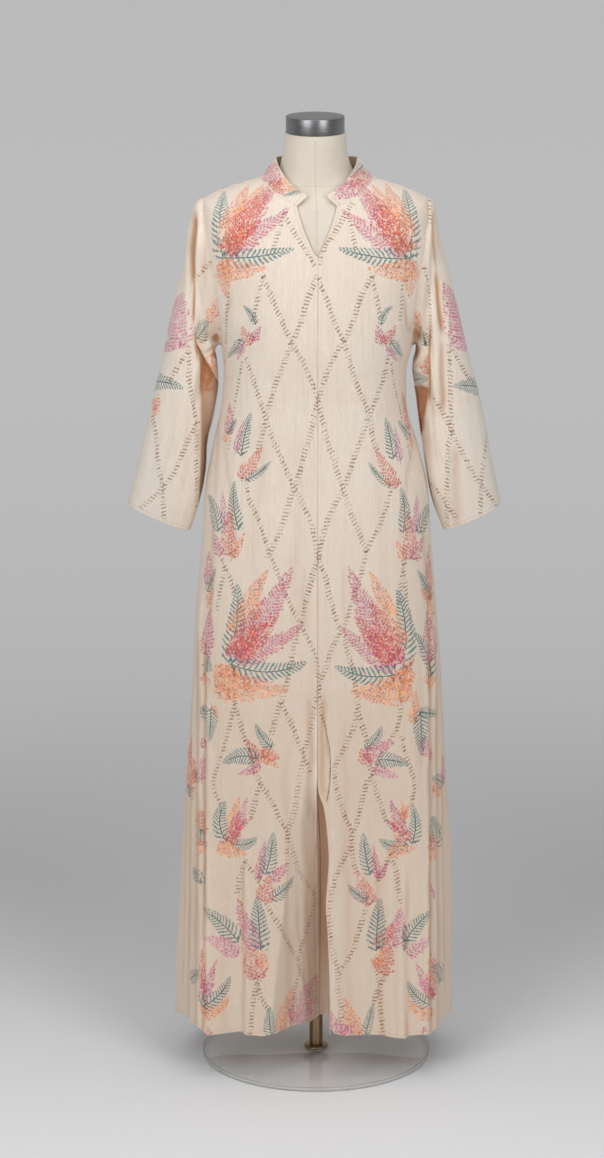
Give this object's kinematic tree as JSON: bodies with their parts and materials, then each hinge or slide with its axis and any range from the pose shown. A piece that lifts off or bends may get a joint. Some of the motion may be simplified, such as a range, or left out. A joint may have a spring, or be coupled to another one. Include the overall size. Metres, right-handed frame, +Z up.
{
  "type": "abaya on a limbless dress form with stand",
  "caption": "Ankle-length open-necked cotton abaya with a stand collar, wide three-quarter sleeves and a front pleat, worn by a limbless dress form on a round glass base.",
  "frame": {"origin": "centre of the underside of the round base, on the floor", "axes": "+Z up, the front of the abaya faces -Y, the wearer's left is +X"},
  "size_m": [0.5969, 0.375, 1.558],
  "materials": {
    "printed_cotton": "cream cotton with a small woven figure, printed with leaf sprays and a lattice of dashes",
    "form_cover": "smooth stretched jersey",
    "brushed_metal": "brushed",
    "clear_glass": "clear, polished edge"
  },
  "bodies": {
    "root": {"front_left": "printed_cotton", "front_right": "printed_cotton", "back_panel": "printed_cotton", "sleeve_left": "printed_cotton", "sleeve_right": "printed_cotton", "collar_band": "printed_cotton", "front_pleat": "printed_cotton", "form_torso": "form_cover", "neck_cap": "brushed_metal", "stand_pole": "brushed_metal", "stand_flange": "brushed_metal", "stand_base": "clear_glass"}
  },
  "joints": []
}
